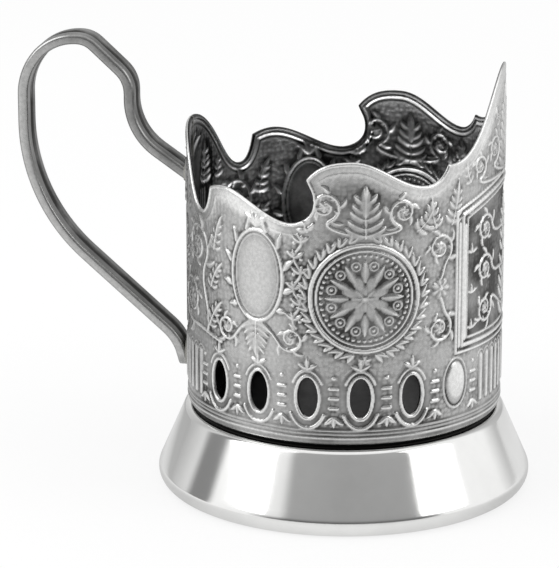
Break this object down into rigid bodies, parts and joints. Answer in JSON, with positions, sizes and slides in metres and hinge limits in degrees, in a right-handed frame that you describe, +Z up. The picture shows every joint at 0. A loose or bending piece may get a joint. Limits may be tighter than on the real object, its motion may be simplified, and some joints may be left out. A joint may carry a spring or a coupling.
{
  "type": "tea glass holder",
  "caption": "Embossed metal tea glass holder: a pierced round sleeve with a scalloped rim on a flared foot, with a bent strip handle, to carry a hot glass.",
  "frame": {"origin": "centre of the foot's resting ring, on the table under the sleeve's axis", "axes": "+Z up along the sleeve's axis, handle at -X, tall peak of the rim at +X"},
  "size_m": [0.1153, 0.0836, 0.1003],
  "materials": {
    "sleeve_metal": "satin nickel silver, embossed, darkened in the recesses",
    "floor_metal": "dull nickel silver",
    "foot_metal": "polished nickel silver",
    "handle_metal": "satin nickel silver",
    "braze": "dull silver brazing alloy"
  },
  "bodies": {
    "root": {"sleeve": "sleeve_metal", "sleeve_seam_braze": "braze", "floor_disc": "floor_metal", "floor_braze": "braze", "foot_skirt": "foot_metal", "foot_braze": "braze", "handle_strip": "handle_metal", "handle_upper_braze": "braze", "handle_lower_braze": "braze"}
  },
  "joints": []
}
